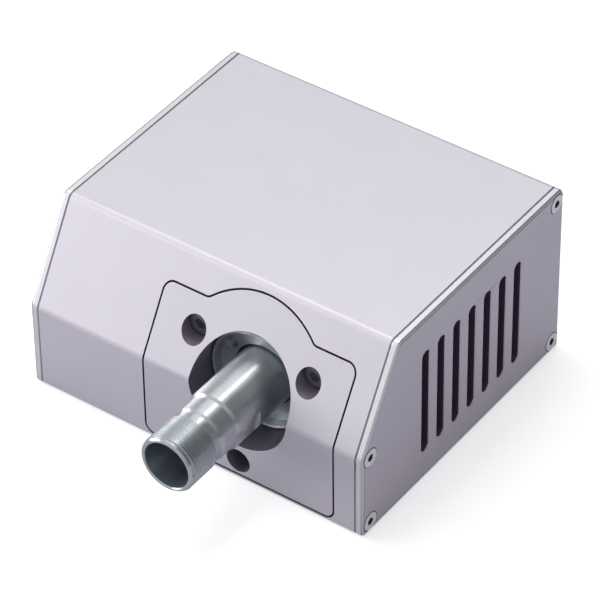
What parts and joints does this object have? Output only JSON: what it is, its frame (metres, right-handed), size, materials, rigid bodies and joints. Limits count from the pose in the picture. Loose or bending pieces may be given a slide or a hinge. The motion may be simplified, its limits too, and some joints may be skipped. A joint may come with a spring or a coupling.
{
  "type": "spindle module",
  "caption": "Wedge-fronted motor housing with vented side plates, whose turning shaft stands out of the front as a threaded collet nose.",
  "frame": {"origin": "centre of the four carriage threads, in the mounting face under the housing", "axes": "+X across the width towards the side nearer the spindle, -Y out along the spindle towards the tool, +Z away from the mounting face"},
  "size_m": [0.09, 0.104, 0.0456],
  "materials": {
    "anodised_shell": "bead-blasted, clear anodised",
    "anodised_plate": "bead-blasted, clear anodised",
    "anodised_block": "bead-blasted, clear anodised",
    "cap_steel": "turned",
    "spindle_steel": "fine turned and ground",
    "screw_steel": "zinc plated",
    "insert_steel": "plated",
    "bearing_steel": "ground and polished",
    "cage_steel": "pressed",
    "shield_steel": "pressed",
    "spring_steel": "phosphated",
    "can_steel": "satin plated",
    "ferrite": "matt",
    "lamination": "oiled",
    "copper": "varnished copper",
    "fan_plastic": "matt",
    "brass": "drawn",
    "carbon": "matt",
    "red_sleeve": "matt",
    "black_sleeve": "matt",
    "circuit_board": "solder mask",
    "capacitor_sleeve": "shrink sleeve",
    "package_black": "moulded",
    "sink_aluminium": "black anodised",
    "terminal_plastic": "moulded",
    "socket_plastic": "moulded"
  },
  "bodies": {
    "housing": {"housing_shell": "anodised_shell", "left_side_plate": "anodised_plate", "right_side_plate": "anodised_plate", "spindle_mount_block": "anodised_block", "motor_front_cap": "cap_steel", "left_plate_screws": "screw_steel", "right_plate_screws": "screw_steel", "block_cap_screws": "screw_steel", "block_base_screws": "screw_steel", "board_screws": "screw_steel", "socket_screws": "screw_steel", "carriage_thread_inserts": "insert_steel", "front_bearing_outer_ring": "bearing_steel", "rear_bearing_outer_ring": "bearing_steel", "front_bearing_shields": "shield_steel", "rear_bearing_shields": "shield_steel", "front_bearing_snap_ring": "spring_steel", "preload_washer": "spring_steel", "brush_springs": "spring_steel", "motor_can": "can_steel", "motor_rear_cap": "can_steel", "motor_magnets": "ferrite", "power_choke": "copper", "brush_holders": "brass", "motor_terminals": "brass", "board_standoffs": "brass", "carbon_brushes": "carbon", "motor_lead_positive": "red_sleeve", "motor_lead_negative": "black_sleeve", "control_board": "circuit_board", "smoothing_capacitors": "capacitor_sleeve", "driver_transistors": "package_black", "driver_heat_sink": "sink_aluminium", "board_terminal_block": "terminal_plastic", "cable_socket": "socket_plastic"},
    "spindle": {"spindle_shaft": "spindle_steel", "front_bearing_inner_ring": "bearing_steel", "rear_bearing_inner_ring": "bearing_steel", "shaft_circlip": "spring_steel", "rotor_core": "lamination", "rotor_windings": "copper", "commutator": "copper", "cooling_fan": "fan_plastic"},
    "front_cage": {"front_bearing_cage": "cage_steel", "front_bearing_balls": "bearing_steel"},
    "rear_cage": {"rear_bearing_cage": "cage_steel", "rear_bearing_balls": "bearing_steel"}
  },
  "joints": [
    {"name": "spindle_turn", "type": "hinge", "parent": "housing", "child": "spindle", "pos_m": [0.0118, -0.0387, 0.02265], "axis": [0, -1, 0], "continuous": true},
    {"name": "front_cage_turn", "type": "hinge", "parent": "housing", "child": "front_cage", "pos_m": [0.0118, -0.0175, 0.02265], "axis": [0, -1, 0], "continuous": true},
    {"name": "rear_cage_turn", "type": "hinge", "parent": "housing", "child": "rear_cage", "pos_m": [0.0118, 0.0282, 0.02265], "axis": [0, -1, 0], "continuous": true}
  ],
  "couplings": [
    {"joint": "front_cage_turn", "follows": "spindle_turn", "ratio": 0.381},
    {"joint": "rear_cage_turn", "follows": "spindle_turn", "ratio": 0.368}
  ]
}
